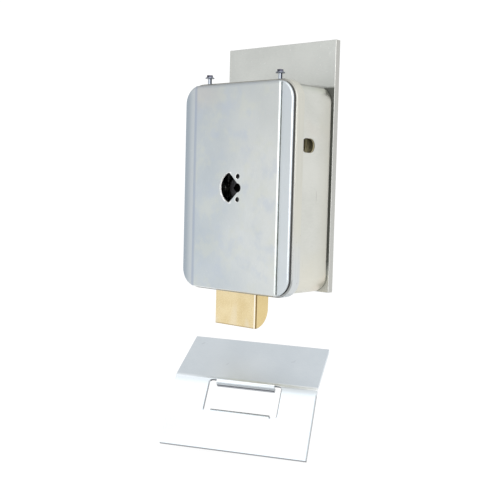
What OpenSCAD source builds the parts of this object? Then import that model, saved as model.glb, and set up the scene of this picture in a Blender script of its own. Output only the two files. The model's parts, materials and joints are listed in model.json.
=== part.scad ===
// Surface-mounted electric gate lock with a drop bolt, its fixing plate and its strike.
// The bolt is raised by a solenoid through a lever, or by a key through a follower.
// x runs to the right, y from the front to the back, z up.
// The origin lies on the back face of the fixing plate, at the middle height of the case.

/* [Fixing plate] */
// Distance of the sides of the plate beyond the case
plate_side = 1; // [1:0.5:30]
// Thickness of the plate
plate_t = 5; // [3:0.5:8]
// Height of the plate above the case
plate_over = 32; // [10:1:80]
// Height of the plate below the case
plate_under = 0; // [0:1:60]

/* [Case] */
// Width of the case
case_w = 98; // [94:1:120]
// Height of the case
case_h = 144; // [138:1:180]
// Depth of the case from its back to its mouth
case_d = 40; // [38:0.5:52]
// Thickness of the case sheet
case_wall = 1.5; // [1:0.1:2]
// Corner radius of the case, seen from the front
case_r = 12; // [6:0.5:16]
// Radius of the outer edge round the back of the case
case_edge = 1.8; // [0.5:0.1:2.5]
// Distance of the middle of the case from the middle of the plate
box_x = -0.5; // [-0.8:0.1:0.8]
// Height of the oblong cable hole in the right wall
cable_d = 9.7; // [8:0.1:12]
// Length of the straight part of the cable hole
cable_slot = 4.5; // [1:0.1:8]
// Height of the cable hole above the middle of the case
cable_z = 29.8; // [27:0.1:45]
// Distance of the front end of that straight part behind the lid frame
cable_back = 5.1; // [5:0.1:12]

/* [Lid frame and gasket] */
// Thickness of the lid frame sheet
lid_t = 1.5; // [1:0.1:2]
// Depth of the lid frame from front to back
lid_d = 8.3; // [7.5:0.1:12]
// Clearance between lid frame and case
lid_gap = 0.3; // [0.2:0.05:0.6]
// Radius of the outer front edge of the lid frame
lid_edge = 1.5; // [0.5:0.1:2]
// Width of the front flange of the lid frame
flange_w = 10; // [9:0.1:12]
// Thickness of the gasket
gasket_t = 2.2; // [1:0.1:3]
// Distance of the gasket edge inside the cover edge
gasket_inset = 0.7; // [0.3:0.1:1.2]

/* [Cover] */
// Distance of the sides of the cover beyond the case
cover_side = 1; // [0.4:0.1:1.6]
// Distance of the top and bottom of the cover beyond the case
cover_ends = 0.5; // [0.2:0.1:1.6]
// Corner radius of the cover, seen from the front
cover_r = 13; // [6:0.5:18]
// Thickness of the cover sheet
cover_t = 1.5; // [1.4:0.1:2]
// Radius of the front edges of cover and panel
cover_edge = 1.2; // [0.4:0.1:1.3]
// Width of the strip on each side of the raised panel
strip_w = 10; // [8:0.5:20]
// Height of the raised panel above the side strips
panel_step = 1.8; // [0.8:0.1:3]
// Radius of the round side of the key cut-out
key_cut_r = 11; // [9:0.5:14]
// Radius of the small end of the key cut-out
key_lobe_r = 3.2; // [2.5:0.1:4]
// Diameter of the two small holes beside the key cut-out
key_hole_d = 3.4; // [2.5:0.1:4.5]

/* [Bolt] */
// Distance of the middle of the bolt from the middle of the plate
bolt_x = -1.8; // [-2.2:0.1:-1]
// Width of the bolt
bolt_w = 38; // [34:1:46]
// Thickness of the bolt
bolt_t = 13.5; // [12.5:0.1:15]
// Length of the bolt below the case at rest
bolt_reach = 25.7; // [22:0.1:40]
// Lift of the bolt
bolt_travel = 24; // [16:0.5:26]
// Clearance of the bolt in its guide and notches
bolt_gap = 0.4; // [0.3:0.05:0.8]

/* [Chassis and guide] */
// Thickness of the chassis plate
chassis_t = 2; // [1.5:0.1:3]
// Outer diameter of the chassis spacers
spacer_d = 9; // [7.5:0.5:10]
// Thickness of the bolt guide sheet
guide_t = 2; // [1.5:0.1:2.2]
// Height of the bolt guide
guide_h = 18; // [12:0.5:19]
// Width of each foot of the bolt guide
guide_foot = 8.6; // [8:0.1:9]

/* [Lift linkage] */
// Diameter of the pin across the bolt tail
lift_pin_d = 5; // [4:0.1:5.5]
// Thickness of the release lever
lever_t = 3; // [2:0.1:4]
// Half width of the release lever
lever_half = 5; // [4:0.1:5.5]
// Diameter of the lever stud
stud_d = 6; // [5:0.1:7]
// Distance of the key axis from the middle of the case
follower_x = -2; // [-4:0.1:-1]
// Diameter of the hub of the key follower
follower_hub_d = 16; // [13:0.5:17]
// Thickness of the arm of the key follower
arm_t = 3.5; // [2.5:0.1:4]
// Diameter of the journal of the key follower
journal_d = 8; // [6:0.1:8.5]

/* [Bolt spring] */
// Distance of the spring axis to the left of the middle of the bolt
spring_side = 6.7; // [6.2:0.1:7.2]
// Mean diameter of the spring
spring_mean_d = 7; // [6.5:0.1:8]
// Diameter of the spring wire
spring_wire = 1; // [0.6:0.1:1.2]
// Number of turns of the spring
spring_turns = 15; // [8:1:20]

/* [Solenoid] */
// Distance of the solenoid axis from the middle of the case
solenoid_x = -22; // [-23:0.1:-21.5]
// Diameter of the coil
coil_d = 25; // [20:0.5:26]
// Diameter of the plunger
plunger_d = 12; // [10:0.1:13]
// Diameter of the pin across the plunger
plunger_pin_d = 3; // [2:0.1:4]
// Thickness of the solenoid frame
frame_t = 2; // [1.5:0.1:3]
// Height of the underside of the solenoid frame above the key axis
frame_z = 16; // [15:0.1:20]

/* [Terminals] */
// Width of each terminal clamp
clamp_w = 6; // [5:0.1:6.5]
// Length of each terminal clamp
clamp_l = 16; // [12:0.5:17]
// Diameter of the coil leads
lead_d = 1.8; // [1.2:0.1:2.2]

/* [Screws] */
// Diameter of the case, chassis and solenoid screws
screw_d = 4; // [3:0.1:4.5]
// Diameter of the cover screws
cover_screw_d = 2.9; // [2.4:0.1:3.2]
// Length of the cover screws that stands proud of the lid frame
cover_screw_proud = 4.1; // [0:0.1:6]
// Diameter of the welded cover studs
cover_stud_d = 3; // [2.4:0.1:3]

/* [Strike] */
// Width of the strike
strike_w = 105; // [90:1:140]
// Length of each leg of the strike
strike_leg = 53; // [40:1:70]
// Thickness of the strike
strike_t = 3; // [2:0.1:4]
// Angle between the two legs of the strike
strike_bend = 31; // [15:1:60]
// Outer radius of the bend
strike_bend_r = 8; // [6:0.5:10]
// Width of the slot for the bolt
slot_w = 53.5; // [50:0.5:70]
// Depth of the slot for the bolt, lips included
slot_d = 25.3; // [22:0.5:34]
// Width of the relief at each end of a lip
relief_w = 5.3; // [4:0.1:7]
// Height of the lips that are turned down at the slot
lip_h = 6.5; // [5:0.1:10]

/* [Hidden] */
$fn = 64;

// A cut runs this far past the face that it opens
past = 1;
// Radial clearance of a thread or a pressed pin in its hole
thread_fit = 0.05;
// Radial clearance of a turning bearing
running_fit = 0.05;
// Radial clearance of a screw in a plain hole
screw_room = 0.2;
// End play beside a turning or sliding piece
end_play = 0.3;

// Depth stations from the back of the plate to the front of the cover
plate_front = -plate_t;
case_floor = plate_front - case_wall;
case_mouth = plate_front - case_d;
lid_face = case_mouth - lid_t;
lid_back = lid_face + lid_d;
gasket_face = lid_face - gasket_t;
cover_face = gasket_face - cover_t;
panel_face = cover_face - panel_step;

// Fixing plate
plate_w = case_w + 2 * plate_side;

// Cover and its raised panel, which is set in a little from top and bottom
cover_w = case_w + 2 * cover_side;
cover_h = case_h + 2 * cover_ends;
panel_w = cover_w - 2 * strip_w;
panel_h = cover_h - 0.8;
panel_r = cover_edge + 0.4;

// Inside of the case
in_x = case_w / 2 - case_wall;
in_z = case_h / 2 - case_wall;
in_r = case_r - case_wall;

// Lid frame outline and its front opening
lid_grow = lid_gap + lid_t;
lid_w = case_w + 2 * lid_grow;
lid_h = case_h + 2 * lid_grow;
open_w = lid_w - 2 * flange_w;
open_h = lid_h - 2 * flange_w;
open_r = 5;

// Cover studs stand in the flange of the lid frame
nut_af = 5.5;
nut_t = 2.4;
stud_x = open_w / 2 + nut_af / sqrt(3);
stud_z = in_z - 20.5;
stud_points = [for (x = [-1, 1], z = [-1, 1]) [box_x + x * stud_x, z * stud_z]];

// Cover screws go down through the top of lid frame and case
cover_screw_points = [for (x = [-1, 1]) box_x - 0.7 + 33 * x];
cover_screw_y = case_mouth + 2.6;
cover_screw_seat = lid_h / 2 + cover_screw_proud;
cover_screw_flange_d = 6.5;
cover_screw_flange_t = 0.8;
cover_screw_head_af = 4;
cover_screw_head_h = 2.5;
cover_screw_l = 12;

// Bolt, its tail and its rest position
bolt_face = case_mouth + end_play;
bolt_back = bolt_face + bolt_t;
bolt_mid = (bolt_face + bolt_back) / 2;
bolt_tip = -case_h / 2 - bolt_reach;
notch_w = bolt_w + 2 * bolt_gap;
tail_w = 11;
tail_t = 6.8;
lift_x = bolt_x + bolt_w / 2 - tail_w / 2;
lift_z = -bolt_travel / 2;
tail_top = lift_z + lift_pin_d / 2 + 4.5;

// Chassis plate behind the bolt
chassis_face = bolt_back + bolt_gap;
chassis_back = chassis_face + chassis_t;
chassis_x = in_x - 1.5;
chassis_clear = 1.3;
chassis_low = -in_z + 4.5;
chassis_top = frame_z - 2;
lift_room = 0.6;
lift_slot_top = bolt_travel / 2 + lift_pin_d / 2 + 1;
chassis_right_top = lift_slot_top + 3.5;
post_x = chassis_x - 5;
post_points = [
  [-post_x, chassis_low + 10], [post_x, chassis_low + 10], [post_x, 10], [-post_x, -22]
];

// Screws into the fixing plate
screw_head_d = 1.75 * screw_d;
screw_head_h = 0.75 * screw_d;
screw_tip_y = -0.5;
case_screw_z = -39;
case_screw_points = [for (x = [-1, 1]) [x * (in_x - 5), case_screw_z]];

// Bolt guide
guide_low = -open_h / 2 + 1.8;
guide_top = guide_low + guide_h;
guide_in = bolt_w / 2 + bolt_gap;
guide_out = guide_in + guide_t;
guide_face = bolt_face - bolt_gap - guide_t;
guide_screw_d = 3;
guide_screw_head_d = 5.5;
guide_screw_head_h = 2;
guide_screw_x = guide_out + guide_foot / 2;
guide_screw_points = [
  for (x = [-1, 1], z = [guide_low + 4.5, guide_top - 4.5]) [bolt_x + x * guide_screw_x, z]
];

// Spring seat on the chassis, and the spring between it and the bolt
spring_x = bolt_x - spring_side;
seat_t = 2;
seat_w = 10;
seat_l = bolt_t - 0.5;
follower_hub_r = follower_hub_d / 2;
seat_top = -follower_hub_r - 4;
seat_low = seat_top - seat_t;
rod_d = spring_mean_d - spring_wire - 1;
rod_head_d = rod_d + 3;
rod_head_h = 1.5;
spring_bore_d = spring_mean_d + spring_wire + 0.6;
spring_floor = bolt_tip + 17.7;
rod_low = spring_floor + bolt_travel + 6;
body_top = seat_low - bolt_travel - 2;

// Key follower
arm_face = bolt_face + 1.2;
arm_back = arm_face + arm_t;
hub_face = arm_face - 1;
arm_dx = lift_x - follower_x;
key_swing = atan(bolt_travel / 2 / arm_dx);
arm_reach = arm_dx / cos(key_swing);
arm_slot_half = lift_pin_d / 2 + 1.1;
arm_wall = 2.4;
arm_room = 0.8;
socket_w = 7;
socket_depth = 5;
bush_flange_t = 1;
bush_flange_d = journal_d + 5;
bush_d = journal_d + 2;
hub_back = chassis_face - bush_flange_t - end_play;
clip_t = 1;
clip_wall = 3;
clip_depth = 0.6;
journal_clip_y = chassis_back + end_play;
journal_end = journal_clip_y + clip_t + 1;

// Release lever behind the chassis, and its stud
lever_mid = case_floor - frame_t - 0.5 - coil_d / 2 - 0.5;
lever_face = lever_mid - lever_t / 2;
lever_back = lever_mid + lever_t / 2;
pivot_boss_r = 6.5;
pivot_x = -(in_x - pivot_boss_r - 1);
lever_l = lift_x - pivot_x;
lever_swing = atan(bolt_travel / 2 / lever_l);
lever_reach = lever_l / cos(lever_swing);
lever_slot_half = lift_pin_d / 2 + 0.5;
lever_slot_wall = 3;
lever_room = 0.8;
shoulder_d = stud_d + 4;
spigot_d = stud_d - 1;
spigot_head_d = spigot_d + 3;
spigot_head_h = 1.2;
lever_clip_y = lever_back + end_play;
stud_end = lever_clip_y + clip_t + 1;

// Solenoid in line with the lever
frame_w = coil_d + 5;
frame_top = in_z - 10.5;
frame_front = lever_mid - coil_d / 2 - 1;
ear_top = in_z - 1.5;
frame_screw_points = [for (x = [-1, 1]) [solenoid_x + x * 9, frame_top + 4.5]];
bobbin_bore = plunger_d + 0.6;
bobbin_tube_d = bobbin_bore + 2.4;
bobbin_flange_t = 1.5;
bobbin_low = frame_z + frame_t;
bobbin_top = frame_top - frame_t;
winding_gap = 0.1;
pole_l = 8.8;
pole_low = bobbin_top - pole_l;
pole_spigot_d = 8;
pole_rivet_d = 11;
pole_rivet_h = 1.5;
plunger_arm = solenoid_x - pivot_x;
plunger_travel = bolt_travel * plunger_arm / lever_l;
plunger_pin_z = -plunger_travel / 2;
plunger_low = plunger_pin_z - 7.5;
plunger_top = pole_low - plunger_travel - 0.5;
fork_top = plunger_pin_z + lever_half + 2.2;
fork_gap = 0.35;
pin_slot_half = plunger_pin_d / 2 + 0.4;
window_half = plunger_d / 2 + 2;

// Terminal block on the back of the case
terminal_x = in_x - 19.5;
terminal_z = 31;
terminal_base_t = 4;
rib_t = 1.5;
rib_h = 9.5;
clamp_gap = 0.9;
clamp_t = 8;
clamp_pitch = clamp_w + rib_t + 2 * clamp_gap;
clamp_bore = lead_d + 1.2;
base_w = 2 * clamp_pitch + rib_t;
base_h = clamp_l + 11;
base_face = case_floor - terminal_base_t;
clamp_y = base_face - clamp_t / 2;
clamp_points = [for (k = [-1, 1]) [terminal_x + k * clamp_pitch / 2, terminal_z]];
terminal_screw_d = 3;
terminal_screw_head_d = 4.6;
base_screw_points = [for (k = [-1, 1]) [terminal_x, terminal_z + k * (base_h / 2 - 2.8)]];

// Route of each coil lead, from the coil to its clamp
lead_sides = 8;
lead_steps = 4;
lead_end_z = terminal_z + clamp_l / 2 - 2;
coil_side_x = solenoid_x + coil_d / 2 + end_play;
lead_z = bobbin_top - 12;
lead_routes = [
  [
    [coil_side_x, lever_mid + 2, lead_z], [-2, lever_mid + 2, lead_z + 1], [8, lever_mid + 4, lead_z + 6],
    [clamp_points[0][0] - 7, clamp_y - 1, lead_z + 8], [clamp_points[0][0] - 1, clamp_y, lead_z + 6],
    [clamp_points[0][0], clamp_y, lead_z + 1], [clamp_points[0][0], clamp_y, lead_end_z]
  ],
  [
    [coil_side_x, lever_mid - 2, lead_z + 4], [-1, lever_mid - 2, lead_z + 6], [11, lever_mid, lead_z + 12],
    [clamp_points[1][0] - 9, clamp_y - 1, lead_z + 14], [clamp_points[1][0] - 2, clamp_y, lead_z + 11],
    [clamp_points[1][0], clamp_y, lead_z + 4], [clamp_points[1][0], clamp_y, lead_end_z]
  ]
];

// Pose of the strike under the lock, as a piece of the set that is shown apart
strike_place = [-0.3, panel_face + 18.7, -139.2];
strike_turn = [53.3, 1.9, 28.2];
bend_len = strike_bend_r * tan(strike_bend / 2);
bend_cross = 1.0015;
slot_back = 0.7;
lip_root = 0.3;
lip_sink = strike_bend_r - sqrt(pow(strike_bend_r, 2) - pow(bend_len - slot_back, 2));
slot_front = slot_back + slot_d;
relief_r = 2.4;
lip_w = slot_w - 2 * relief_w;
lip_r = 2.5;

// Flat shapes are drawn with x to the right and z up, then given their depth
module slab(y0, y1) {
  translate([0, y1, 0]) rotate([90, 0, 0]) linear_extrude(y1 - y0) children();
}

module at(p) {
  translate([p[0], 0, p[1]]) children();
}

module rod(d, y0, y1) {
  slab(y0, y1) circle(d = d);
}

module rounded(w, h, r) {
  square([w - 2 * r, h], center = true);
  square([w, h - 2 * r], center = true);
  for (x = [-1, 1], z = [-1, 1])
    translate([x * (w / 2 - r), z * (h / 2 - r)]) circle(r = r);
}

module stadium(x0, x1, r) {
  translate([x0, -r]) square([x1 - x0, 2 * r]);
  for (x = [x0, x1])
    translate([x, 0]) circle(r = r);
}

// Half section of a block from its corner axis outwards, with one rounded edge at y = 0
module edge_profile(r, e, depth) {
  translate([0, e]) square([r, depth - e]);
  square([r - e, e]);
  translate([r - e, e]) intersection() {
    circle(r = e);
    translate([0, -e]) square(e);
  }
}

// Block with round corners whose edge round its lower face is rounded too
module soft_block(w, h, r, e, depth) {
  a = w / 2 - r;
  b = h / 2 - r;
  translate([-a, -b, 0]) cube([2 * a, 2 * b, depth]);
  for (k = [0 : 3]) {
    along = k % 2 == 0 ? a : b;
    across = k % 2 == 0 ? b : a;
    rotate(90 * k) translate([along, across, 0]) {
      rotate([90, 0, 0]) linear_extrude(2 * across) edge_profile(r, e, depth);
      rotate_extrude(angle = 90) edge_profile(r, e, depth);
    }
  }
}

// The same block with its rounded edge at the front
module soft_front(w, h, r, e, y0, y1) {
  translate([0, y0, 0]) rotate([-90, 0, 0]) soft_block(w, h, r, e, y1 - y0);
}

// Screw with its head in front of its seat
module front_screw(d, head_d, head_h, seat_y, end_y) {
  difference() {
    union() {
      rod(head_d, seat_y - head_h, seat_y);
      rod(d, seat_y - head_h / 2, end_y);
    }
    slab(seat_y - head_h - past, seat_y - head_h / 2) circle(d = 0.8 * d, $fn = 6);
  }
}

// Open spring clip that sits in the groove of a shaft
module shaft_clip(shaft_d, y0) {
  groove_d = shaft_d - 2 * clip_depth;
  slab(y0, y0 + clip_t) difference() {
    circle(d = shaft_d + 2 * clip_wall);
    circle(d = groove_d + 2 * thread_fit);
    translate([-0.35 * groove_d, -shaft_d - clip_wall]) square([0.7 * groove_d, shaft_d + clip_wall]);
  }
}

// Ring that cuts the groove of a clip into a shaft
module clip_groove(shaft_d, y0) {
  slab(y0, y0 + clip_t) difference() {
    circle(d = shaft_d + past);
    circle(d = shaft_d - 2 * clip_depth);
  }
}

// Tube along a smooth curve through the points of a route
function curve_point(p, k, t) =
  let (
    a = p[max(k - 1, 0)],
    b = p[k],
    c = p[k + 1],
    d = p[min(k + 2, len(p) - 1)]
  )
  b + t * (c - a) / 2 + t * t * (2 * a - 5 * b + 4 * c - d) / 2 + t * t * t * (3 * b - a - 3 * c + d) / 2;

function curve(p, steps) = concat(
  [for (k = [0 : len(p) - 2], s = [0 : steps - 1]) curve_point(p, k, s / steps)],
  [p[len(p) - 1]]
);

function unit(v) = v / norm(v);

module tube(path, d, sides) {
  last = len(path) - 1;
  rings = [
    for (k = [0 : last])
      let (
        along = unit(path[min(k + 1, last)] - path[max(k - 1, 0)]),
        side = unit(cross(along, [0.2, 1, 0.1])),
        up = cross(side, along)
      )
      for (s = [0 : sides - 1]) path[k] + d / 2 * (cos(360 * s / sides) * side + sin(360 * s / sides) * up)
  ];
  walls = [
    for (k = [0 : last - 1], s = [0 : sides - 1])
      let (
        n = (s + 1) % sides,
        a = k * sides,
        b = a + sides
      )
      each [[a + s, a + n, b + n], [a + s, b + n, b + s]]
  ];
  first_cap = [for (s = [sides - 1 : -1 : 0]) s];
  last_cap = [for (s = [0 : sides - 1]) last * sides + s];
  polyhedron(rings, concat(walls, [first_cap, last_cap]));
}

module fixing_plate() {
  color("silver") difference() {
    slab(plate_front, 0)
      translate([-plate_w / 2, -case_h / 2 - plate_under])
        square([plate_w, case_h + plate_over + plate_under]);
    for (p = concat(post_points, case_screw_points, frame_screw_points))
      at(p) rod(screw_d + 2 * thread_fit, plate_front - past, past);
  }
}

module case() {
  color("gainsboro") difference() {
    translate([box_x, plate_front, 0])
      rotate([90, 0, 0]) soft_block(case_w, case_h, case_r, case_edge, case_d);
    slab(case_mouth - past, case_floor) translate([box_x, 0]) rounded(2 * in_x, 2 * in_z, in_r);
    translate([bolt_x - notch_w / 2, case_mouth - past, -case_h / 2 - past])
      cube([notch_w, chassis_face - case_mouth + past, case_wall + 2 * past]);
    translate([box_x + in_x - past, lid_back + cable_back, cable_z])
      rotate([0, 90, 0]) linear_extrude(case_wall + 2 * past)
        rotate(90) stadium(0, cable_slot, cable_d / 2);
    for (x = cover_screw_points)
      translate([x, cover_screw_y, in_z - past])
        cylinder(d = cover_screw_d + 2 * thread_fit, h = case_wall + 2 * past);
    for (p = concat(post_points, case_screw_points, frame_screw_points))
      at(p) rod(screw_d + 2 * screw_room, case_floor - past, plate_front + past);
    for (p = base_screw_points)
      at(p) rod(terminal_screw_d + 2 * thread_fit, case_floor - past, plate_front + past);
  }
}

module lid_frame() {
  color("gainsboro") difference() {
    translate([box_x, 0, 0])
      soft_front(lid_w, lid_h, case_r + lid_grow, lid_edge, lid_face, lid_back);
    slab(case_mouth, lid_back + past) translate([box_x, 0])
      rounded(case_w + 2 * lid_gap, case_h + 2 * lid_gap, case_r + lid_gap);
    slab(lid_face - past, case_mouth + past) translate([box_x, 0]) rounded(open_w, open_h, open_r);
    translate([bolt_x - notch_w / 2, case_mouth, -lid_h / 2 - past])
      cube([notch_w, lid_d, lid_grow + 2 * past]);
    for (x = cover_screw_points)
      translate([x, cover_screw_y, case_h / 2])
        cylinder(d = cover_screw_d + 2 * screw_room, h = lid_grow + past);
    for (p = stud_points)
      at(p) rod(cover_stud_d + 2 * screw_room, lid_face - past, case_mouth + past);
  }
}

module gasket() {
  color("dimgray") slab(gasket_face, lid_face) difference() {
    translate([box_x, 0])
      rounded(cover_w - 2 * gasket_inset, cover_h - 2 * gasket_inset, cover_r - gasket_inset);
    translate([box_x, 0]) rounded(open_w, open_h, open_r);
    for (p = stud_points)
      translate(p) circle(d = cover_stud_d + 2 * screw_room);
  }
}

// Round-sided opening that narrows to a small lobe on the right
module key_cut() {
  key_x = follower_x + 0.25;
  shoulder_x = key_x - 2.2;
  shoulder_z = key_cut_r - 0.4;
  lobe_x = key_x + key_cut_r / 2;
  intersection() {
    translate([key_x, 0]) circle(r = key_cut_r);
    polygon([
      [key_x - key_cut_r - past, -shoulder_z], [shoulder_x, -shoulder_z],
      [lobe_x, -key_lobe_r], [lobe_x, key_lobe_r],
      [shoulder_x, shoulder_z], [key_x - key_cut_r - past, shoulder_z]
    ]);
  }
  translate([lobe_x, 0]) circle(r = key_lobe_r);
}

module cover() {
  hole_x = follower_x + 6;
  hole_z = key_cut_r - 3;
  color("lightgray") difference() {
    union() {
      translate([box_x, 0, 0]) soft_front(cover_w, cover_h, cover_r, cover_edge, cover_face, gasket_face);
      soft_front(panel_w, panel_h, panel_r, cover_edge, panel_face, gasket_face);
    }
    slab(panel_face + cover_t, gasket_face + past)
      square([panel_w - 2 * cover_t, panel_h - 2 * cover_t], center = true);
    slab(panel_face - past, gasket_face) key_cut();
    for (z = [-1, 1])
      at([hole_x, z * hole_z]) rod(key_hole_d, panel_face - past, gasket_face);
  }
}

module cover_studs() {
  color("silver") for (p = stud_points)
    at(p) rod(cover_stud_d, gasket_face, case_mouth + nut_t + 1);
}

module cover_nuts() {
  color("silver") for (p = stud_points)
    at(p) slab(case_mouth, case_mouth + nut_t) difference() {
      circle(d = 2 * nut_af / sqrt(3), $fn = 6);
      circle(d = cover_stud_d + 2 * thread_fit);
    }
}

module cover_screws() {
  color("dimgray") for (x = cover_screw_points)
    translate([x, cover_screw_y, cover_screw_seat]) {
      translate([0, 0, -cover_screw_l]) cylinder(d = cover_screw_d, h = cover_screw_l + past);
      cylinder(d = cover_screw_flange_d, h = cover_screw_flange_t);
      cylinder(d = 2 * cover_screw_head_af / sqrt(3), h = cover_screw_head_h, $fn = 6);
    }
}

module case_screws() {
  color("silver") for (p = case_screw_points)
    at(p) front_screw(screw_d, screw_head_d, screw_head_h, case_floor, screw_tip_y);
}

module chassis_plate() {
  lift_half = lift_pin_d / 2 + lift_room;
  color("lightgray") difference() {
    union() {
      slab(chassis_face, chassis_back) intersection() {
        translate([box_x, 0]) rounded(2 * (in_x - chassis_clear), 2 * (in_z - chassis_clear), in_r);
        union() {
          translate([-chassis_x, chassis_low]) square([2 * chassis_x, chassis_top - chassis_low]);
          translate([lift_x - 10, chassis_low])
            square([chassis_x - lift_x + 10, chassis_right_top - chassis_low]);
        }
      }
      translate([spring_x - seat_w / 2, chassis_face - seat_l, seat_low])
        cube([seat_w, seat_l + chassis_t / 2, seat_t]);
    }
    slab(chassis_face - past, chassis_back + past)
      translate([solenoid_x - window_half, plunger_low - 3])
        square([2 * window_half, chassis_top - plunger_low + 3 + past]);
    slab(chassis_face - past, chassis_back + past)
      translate([lift_x, 0]) rotate(90)
        stadium(lift_z - 1, -lift_z + 1 - lift_room, lift_half);
    for (p = post_points)
      at(p) rod(screw_d + 2 * screw_room, chassis_face - past, chassis_back + past);
    for (p = guide_screw_points)
      at(p) rod(guide_screw_d + 2 * thread_fit, chassis_face - past, chassis_back + past);
    at([follower_x, 0]) rod(bush_d + 2 * thread_fit, chassis_face - past, chassis_back + past);
    at([pivot_x, 0]) rod(spigot_d + 2 * thread_fit, chassis_face - past, chassis_back + past);
    translate([spring_x, bolt_mid, seat_low - past])
      cylinder(d = rod_d + 2 * thread_fit, h = seat_t + 2 * past);
  }
}

module chassis_spacers() {
  color("silver") for (p = post_points)
    at(p) slab(chassis_back, case_floor) difference() {
      circle(d = spacer_d);
      circle(d = screw_d + 2 * screw_room);
    }
}

module chassis_screws() {
  color("silver") for (p = post_points)
    at(p) front_screw(screw_d, screw_head_d, screw_head_h, chassis_face, screw_tip_y);
}

// Hat-shaped bracket over the bolt
module bolt_guide() {
  foot_x = guide_out + guide_foot;
  color("lightgray") difference() {
    translate([bolt_x, 0, guide_low]) linear_extrude(guide_h) difference() {
      union() {
        translate([-guide_out, guide_face]) square([2 * guide_out, chassis_face - guide_face]);
        translate([-foot_x, chassis_face - guide_t]) square([2 * foot_x, guide_t]);
      }
      translate([-guide_in, guide_face + guide_t])
        square([2 * guide_in, chassis_face - guide_face]);
    }
    for (p = guide_screw_points)
      at(p) rod(guide_screw_d + 2 * screw_room, chassis_face - guide_t - past, chassis_face + past);
  }
}

module guide_screws() {
  color("silver") for (p = guide_screw_points)
    at(p) front_screw(
      guide_screw_d, guide_screw_head_d, guide_screw_head_h, chassis_face - guide_t, chassis_back + 0.8
    );
}

// Bolt with a quarter-round rear corner, a spring bore and a tail for the lift pin
module bolt() {
  color("burlywood") difference() {
    union() {
      translate([bolt_x - bolt_w / 2, bolt_face, bolt_tip]) rotate([90, 0, 90]) linear_extrude(bolt_w) {
        translate([0, bolt_t]) square([bolt_t, body_top - bolt_tip - bolt_t]);
        intersection() {
          translate([0, bolt_t]) circle(r = bolt_t);
          square([bolt_t, bolt_t]);
        }
      }
      translate([bolt_x + bolt_w / 2 - tail_w, bolt_back - tail_t, body_top - past])
        cube([tail_w, tail_t, tail_top - body_top + past]);
    }
    translate([spring_x, bolt_mid, spring_floor])
      cylinder(d = spring_bore_d, h = body_top - spring_floor + past);
    at([lift_x, lift_z]) rod(lift_pin_d + 2 * thread_fit, bolt_back - tail_t - past, bolt_back + past);
  }
}

module lift_pin() {
  color("silver") at([lift_x, lift_z]) rod(lift_pin_d, arm_face - 0.5, lever_back + 0.8);
}

// Compression spring with closed ends between the seat and the floor of the bore
module bolt_spring() {
  per_turn = 12;
  steps = spring_turns * per_turn;
  low = spring_floor + spring_wire / 2 + 0.1;
  high = seat_low - spring_wire / 2 - 0.1;
  closed = spring_wire * 1.1;
  open_pitch = (high - low - 2 * closed) / (spring_turns - 2);
  heights = [
    for (k = [0 : steps])
      let (t = k / per_turn)
      t < 1 ? low + closed * t
      : t > spring_turns - 1 ? high - closed * (spring_turns - t)
      : low + closed + open_pitch * (t - 1)
  ];
  path = [
    for (k = [0 : steps])
      let (a = 360 * k / per_turn)
      [spring_x + spring_mean_d / 2 * cos(a), bolt_mid + spring_mean_d / 2 * sin(a), heights[k]]
  ];
  color("silver") tube(path, spring_wire, 6);
}

module spring_rod() {
  color("silver") translate([spring_x, bolt_mid, 0]) {
    translate([0, 0, rod_low]) cylinder(d = rod_d, h = seat_top - rod_low + rod_head_h / 2);
    translate([0, 0, seat_top]) cylinder(d = rod_head_d, h = rod_head_h);
  }
}

// Hub with a square socket, a slotted arm and a journal through the chassis
module key_follower() {
  slot_from = arm_dx - arm_room;
  slot_to = arm_reach + arm_room;
  color("dimgray") at([follower_x, 0]) difference() {
    union() {
      rod(follower_hub_d, hub_face, hub_back);
      rod(journal_d, hub_back - past, journal_end);
      slab(arm_face, arm_back) rotate(-key_swing) stadium(0, slot_to, arm_slot_half + arm_wall);
    }
    slab(arm_face - past, arm_back + past)
      rotate(-key_swing) stadium(slot_from, slot_to, arm_slot_half);
    slab(hub_face - past, hub_face + socket_depth)
      rotate(-key_swing) square(socket_w, center = true);
    clip_groove(journal_d, journal_clip_y);
  }
}

module follower_bush() {
  color("goldenrod") at([follower_x, 0]) difference() {
    union() {
      rod(bush_flange_d, chassis_face - bush_flange_t, chassis_face);
      rod(bush_d, chassis_face - bush_flange_t, chassis_back);
    }
    rod(journal_d + 2 * running_fit, chassis_face - bush_flange_t - past, chassis_back + past);
  }
}

module follower_clip() {
  color("dimgray") at([follower_x, 0]) shaft_clip(journal_d, journal_clip_y);
}

// Lever with a bore at its stud, a slot for the plunger pin and one for the lift pin
module release_lever() {
  slot_to = lever_reach + lever_room;
  pin_to = plunger_arm / cos(lever_swing) + lever_room;
  color("lightgray") at([pivot_x, 0]) slab(lever_face, lever_back) rotate(-lever_swing) difference() {
    union() {
      circle(r = pivot_boss_r);
      stadium(0, lever_l, lever_half);
      stadium(lever_l - lever_room, slot_to, lever_slot_half + lever_slot_wall);
    }
    circle(d = stud_d + 2 * running_fit);
    stadium(plunger_arm - lever_room, pin_to, pin_slot_half);
    stadium(lever_l - lever_room, slot_to, lever_slot_half);
  }
}

module lever_stud() {
  color("silver") at([pivot_x, 0]) difference() {
    union() {
      rod(spigot_head_d, chassis_face - spigot_head_h, chassis_face);
      rod(spigot_d, chassis_face - spigot_head_h / 2, chassis_back + past);
      rod(shoulder_d, chassis_back, lever_face - end_play);
      rod(stud_d, lever_face - end_play - past, stud_end);
    }
    clip_groove(stud_d, lever_clip_y);
  }
}

module lever_clip() {
  color("dimgray") at([pivot_x, 0]) shaft_clip(stud_d, lever_clip_y);
}

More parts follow.
